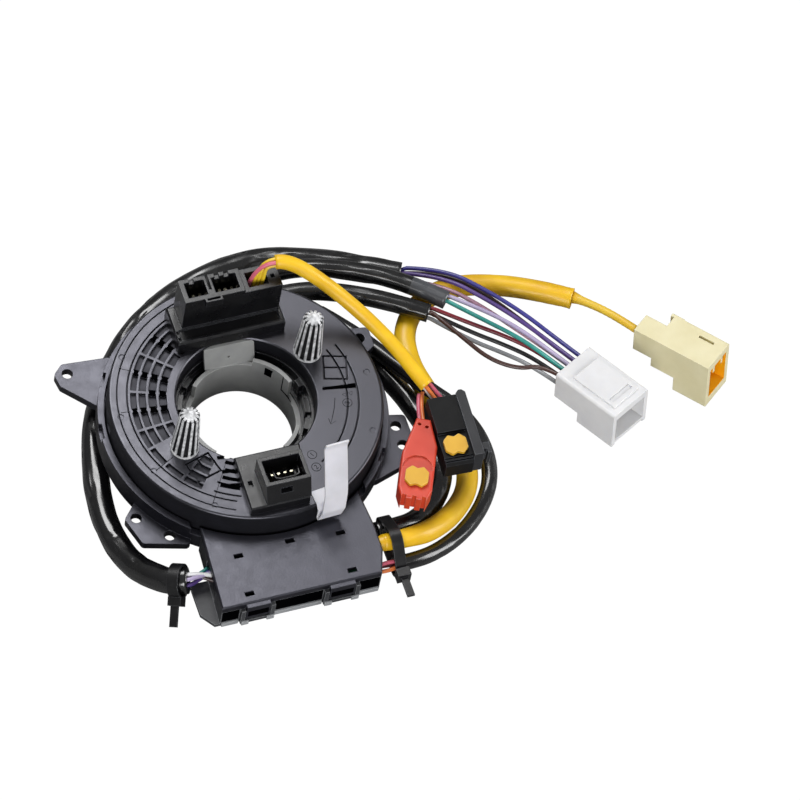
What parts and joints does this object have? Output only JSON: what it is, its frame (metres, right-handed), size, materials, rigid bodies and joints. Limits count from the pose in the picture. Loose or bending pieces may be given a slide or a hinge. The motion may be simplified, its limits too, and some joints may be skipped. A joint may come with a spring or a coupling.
{
  "type": "steering clock spring",
  "caption": "Steering clock spring: a turning cover with two sockets, drive posts and a squib lead on a fixed cassette, with a junction box and a harness ending in two loom connectors.",
  "frame": {"origin": "on the column bore's axis, at the lower end of the hub sleeve", "axes": "+Z along the bore towards the steering wheel, -Y towards the junction box, +X towards the loose connectors"},
  "size_m": [0.2467, 0.1615, 0.0675],
  "materials": {
    "black_plastic": "fine-grained black PBT moulding",
    "black_sleeve": "soft black vinyl tube",
    "circuit_board": "solder-masked board",
    "contact_metal": "tinned contact",
    "cream_nylon": "cream nylon",
    "flat_cable": "copper laminate in clear film",
    "grey_plastic": "satin grey acetal",
    "orange_plastic": "orange nylon",
    "post_plastic": "worn grey moulding with pale rib edges",
    "strip_white": "thin white plastic film",
    "tie_nylon": "black nylon",
    "white_nylon": "natural white nylon",
    "wire_black": "soft vinyl insulation",
    "wire_blue": "soft vinyl insulation",
    "wire_brown": "soft vinyl insulation",
    "wire_dark_brown": "soft vinyl insulation",
    "wire_grey": "soft vinyl insulation",
    "wire_lavender": "soft vinyl insulation",
    "wire_pink": "soft vinyl insulation",
    "wire_purple": "soft vinyl insulation",
    "wire_red": "soft vinyl insulation",
    "wire_teal": "soft vinyl insulation",
    "yellow_plastic": "yellow acetal",
    "yellow_sleeve": "soft yellow vinyl tube"
  },
  "bodies": {
    "stator": {"stator_housing": "black_plastic", "bottom_cover": "black_plastic", "junction_box_tray": "grey_plastic", "junction_box_lid": "black_plastic", "terminal_board": "circuit_board", "ribbon_cable": "flat_cable", "outer_terminal_block": "grey_plastic", "left_cable_tie": "tie_nylon", "right_cable_tie": "tie_nylon", "white_connector": "white_nylon", "white_connector_pins": "contact_metal", "cream_connector": "cream_nylon", "cream_connector_pins": "contact_metal", "left_harness_tube": "black_sleeve", "upper_harness_tube": "black_sleeve", "middle_harness_tube": "black_sleeve", "inner_harness_tube": "black_sleeve", "outer_harness_tube": "black_sleeve", "airbag_trunk_tube": "yellow_sleeve", "airbag_taped_lead": "yellow_sleeve", "fan_wire_grey": "wire_grey", "fan_wire_black": "wire_black", "fan_wire_red": "wire_red", "fan_wire_brown": "wire_brown", "fan_wire_teal": "wire_teal", "fan_wire_lavender": "wire_lavender", "fan_wire_purple": "wire_purple", "fan_wire_blue": "wire_blue", "fan_wire_pink": "wire_pink", "fan_wire_dark_brown": "wire_dark_brown"},
    "rotor": {"rotor_cover": "black_plastic", "hub_sleeve": "grey_plastic", "inner_terminal_block": "grey_plastic", "drive_post_left": "post_plastic", "drive_post_right": "post_plastic", "switch_socket_housing": "black_plastic", "switch_socket_pins": "contact_metal", "horn_socket_housing": "black_plastic", "horn_socket_pins": "contact_metal", "lock_strip": "strip_white", "squib_lead": "yellow_sleeve", "orange_squib_lead": "yellow_sleeve", "black_squib_plug": "black_plastic", "black_squib_cover": "grey_plastic", "orange_squib_plug": "orange_plastic"},
    "black_lock": {"black_squib_lock": "yellow_plastic"},
    "orange_lock": {"orange_squib_lock": "yellow_plastic"}
  },
  "joints": [
    {"name": "rotor_turn", "type": "hinge", "parent": "stator", "child": "rotor", "pos_m": [0, 0, 0], "axis": [0, 0, 1], "range_deg": [-1170, 1170]},
    {"name": "black_lock_slide", "type": "slide", "parent": "rotor", "child": "black_lock", "axis": [0, 0, 1], "range_m": [0, 0.002]},
    {"name": "orange_lock_slide", "type": "slide", "parent": "rotor", "child": "orange_lock", "axis": [0, 0, 1], "range_m": [0, 0.002]}
  ]
}
